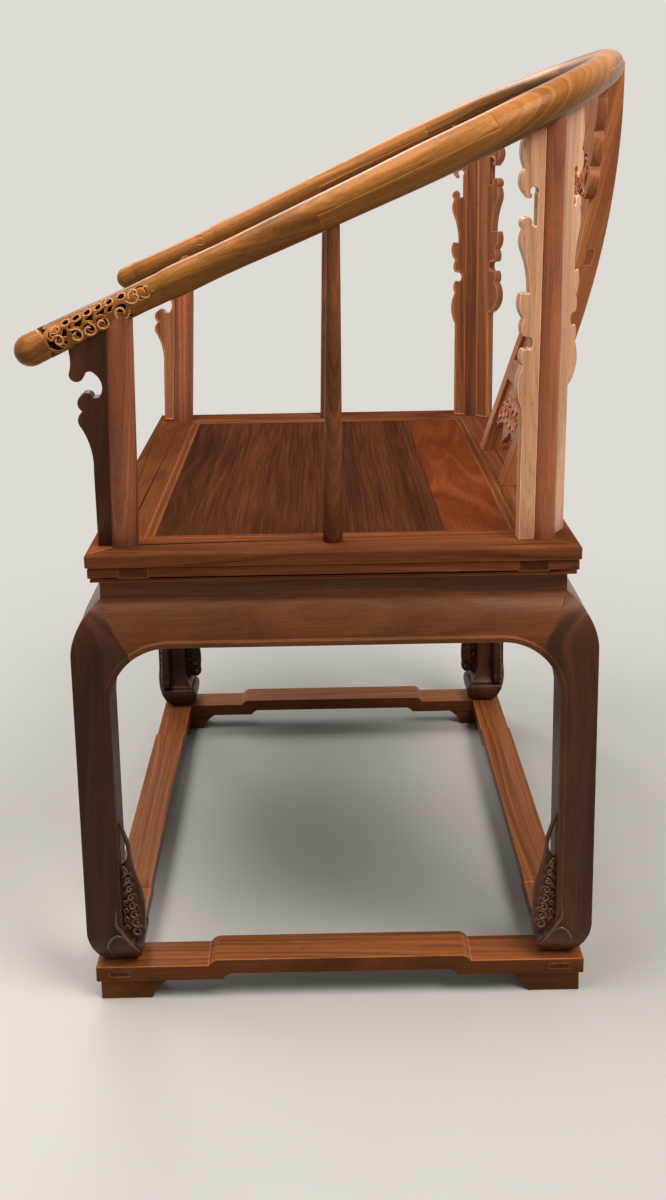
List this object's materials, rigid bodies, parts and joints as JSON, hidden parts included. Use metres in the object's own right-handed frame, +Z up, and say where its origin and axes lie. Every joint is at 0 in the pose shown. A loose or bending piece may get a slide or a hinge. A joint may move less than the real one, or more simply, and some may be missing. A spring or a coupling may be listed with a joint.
{
  "type": "horseshoe-back armchair",
  "caption": "Hardwood armchair with a sloping continuous hand rail, curved back splat, waisted seat frame and inward hoof feet on a floor frame.",
  "frame": {"origin": "on the floor, under the middle of the chair's overall width and depth", "axes": "+Z up, the chair faces -Y, its left side is +X"},
  "size_m": [0.7006, 0.641, 0.9965],
  "materials": {
    "rail_wood": "satin polish, orange-brown rosewood",
    "panel_wood": "satin polish, dark red-brown rosewood",
    "frame_wood": "satin polish, red-brown rosewood"
  },
  "bodies": {
    "root": {"apron_front": "frame_wood", "apron_left": "frame_wood", "apron_rear": "frame_wood", "apron_right": "frame_wood", "arm_stile_left": "frame_wood", "arm_stile_right": "frame_wood", "base_foot_front_left": "frame_wood", "base_foot_front_right": "frame_wood", "base_foot_rear_left": "frame_wood", "base_foot_rear_right": "frame_wood", "base_rail_front": "frame_wood", "base_rail_left": "frame_wood", "base_rail_rear": "frame_wood", "base_rail_right": "frame_wood", "crest_arm_left": "rail_wood", "crest_arm_right": "rail_wood", "crest_centre": "rail_wood", "crest_scarf_pins": "rail_wood", "crest_shoulder_left": "rail_wood", "crest_shoulder_right": "rail_wood", "front_leg_left": "frame_wood", "front_leg_right": "frame_wood", "front_spandrel_left": "frame_wood", "front_spandrel_right": "frame_wood", "inner_spandrel_left": "frame_wood", "inner_spandrel_right": "frame_wood", "rear_leg_left": "frame_wood", "rear_leg_right": "frame_wood", "rear_spandrel_left": "frame_wood", "rear_spandrel_right": "frame_wood", "seat_board_front": "panel_wood", "seat_board_rear": "panel_wood", "seat_brace_left": "frame_wood", "seat_brace_right": "frame_wood", "seat_rail_front": "frame_wood", "seat_rail_left": "frame_wood", "seat_rail_rear": "frame_wood", "seat_rail_right": "frame_wood", "splat_apron": "frame_wood", "splat_bracket_left": "frame_wood", "splat_bracket_right": "frame_wood", "splat_panel_middle": "frame_wood", "splat_panel_top": "frame_wood", "splat_rail_lower": "frame_wood", "splat_rail_middle": "frame_wood", "splat_stile_left": "frame_wood", "splat_stile_right": "frame_wood", "waist_front": "frame_wood", "waist_left": "frame_wood", "waist_rear": "frame_wood", "waist_right": "frame_wood"}
  },
  "joints": []
}
